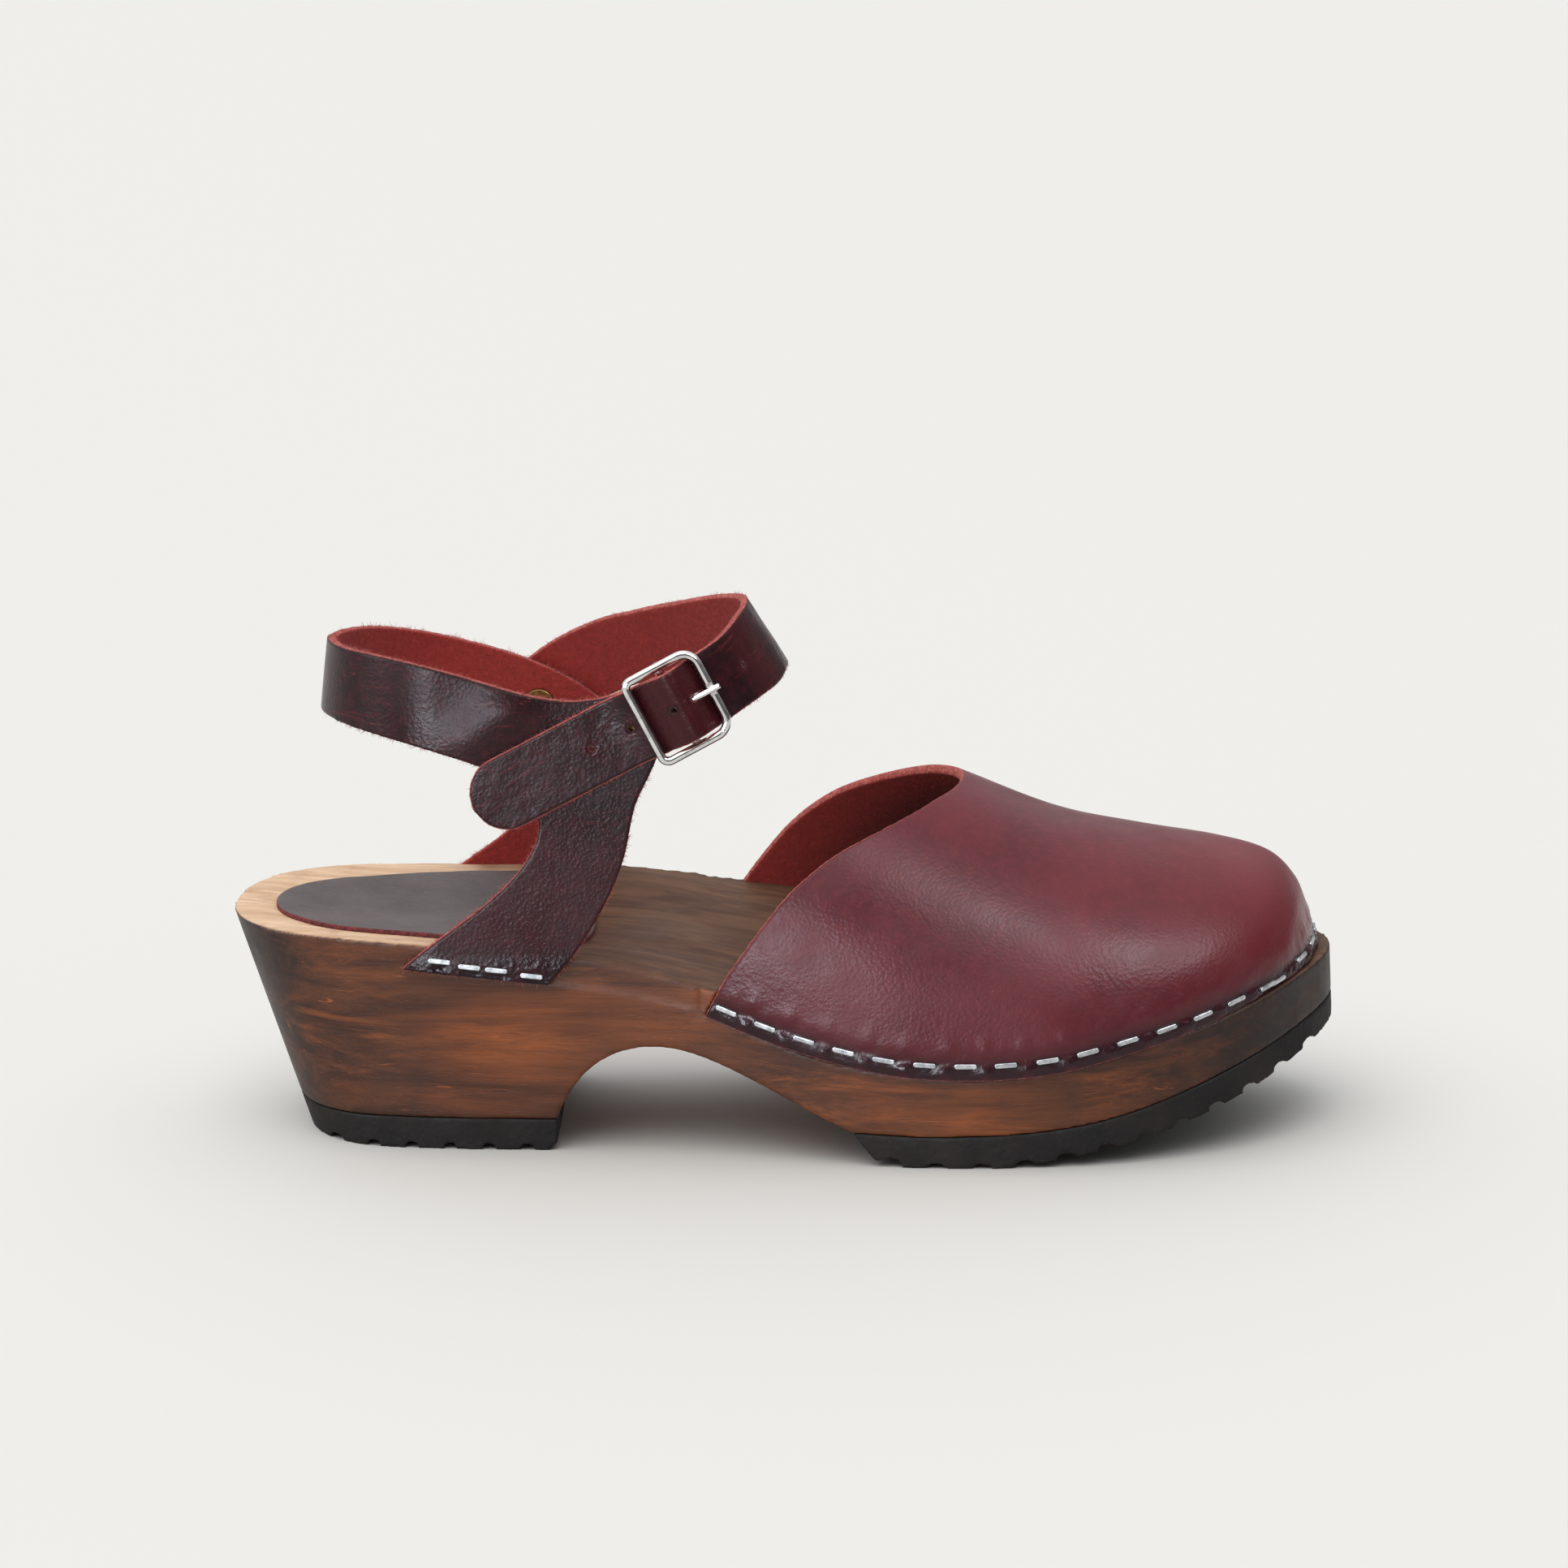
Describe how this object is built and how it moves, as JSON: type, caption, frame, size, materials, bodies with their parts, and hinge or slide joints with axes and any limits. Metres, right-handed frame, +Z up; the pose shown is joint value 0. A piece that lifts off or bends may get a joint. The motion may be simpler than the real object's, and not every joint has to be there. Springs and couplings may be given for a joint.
{
  "type": "wooden clog",
  "caption": "Clog with a carved wooden sole and block heel, a stapled closed leather front, and a leather ankle strap with a buckle.",
  "frame": {"origin": "on the ground, under the middle of the shoe's bounding box", "axes": "+X to the toe, +Z up, -Y to the outer (buckle) side of this right shoe"},
  "size_m": [0.2572, 0.091, 0.1241],
  "materials": {
    "stained_wood": "dark stained alder, satin, tan where the rim is rubbed",
    "rubber": "matt ribbed rubber",
    "pad_leather": "smooth dark leather with a red cut edge",
    "burgundy_leather": "waxed burgundy leather, red flesh side, raw edges",
    "dark_leather": "waxed dark aubergine leather, red flesh side, raw edges",
    "zinc": "bright zinc plated wire",
    "chrome": "polished nickel plate",
    "antique_brass": "dull antique brass"
  },
  "bodies": {
    "clog": {"wooden_sole": "stained_wood", "heel_tread": "rubber", "forefoot_tread": "rubber", "heel_pad": "pad_leather", "vamp": "burgundy_leather", "heel_strap": "dark_leather", "vamp_staples_outer": "zinc", "vamp_staples_toe": "zinc", "vamp_staples_inner": "zinc", "outer_tab_staples": "zinc", "inner_tab_staples": "zinc", "strap_rivet_cap": "antique_brass", "strap_rivet_socket": "antique_brass", "fold_rivet_cap": "antique_brass", "fold_rivet_socket": "antique_brass"},
    "ankle_strap": {"ankle_strap": "dark_leather"},
    "buckle_frame": {"buckle_frame": "chrome"},
    "buckle_prong": {"buckle_prong": "chrome"}
  },
  "joints": [
    {"name": "strap_pivot", "type": "hinge", "parent": "clog", "child": "ankle_strap", "pos_m": [-0.0589, 0.03014, 0.0927], "axis": [0, 0.994, 0.1093], "range_deg": [-0.5, 0.5]},
    {"name": "buckle_tilt", "type": "hinge", "parent": "clog", "child": "buckle_frame", "pos_m": [-0.0241, -0.0317, 0.1054], "axis": [-0.4664, 0.0464, 0.8833], "range_deg": [-2, 2]},
    {"name": "prong_lift", "type": "hinge", "parent": "buckle_frame", "child": "buckle_prong", "pos_m": [-0.0241, -0.0317, 0.1054], "axis": [0.4664, -0.0464, -0.8833], "range_deg": [0, 5]}
  ]
}
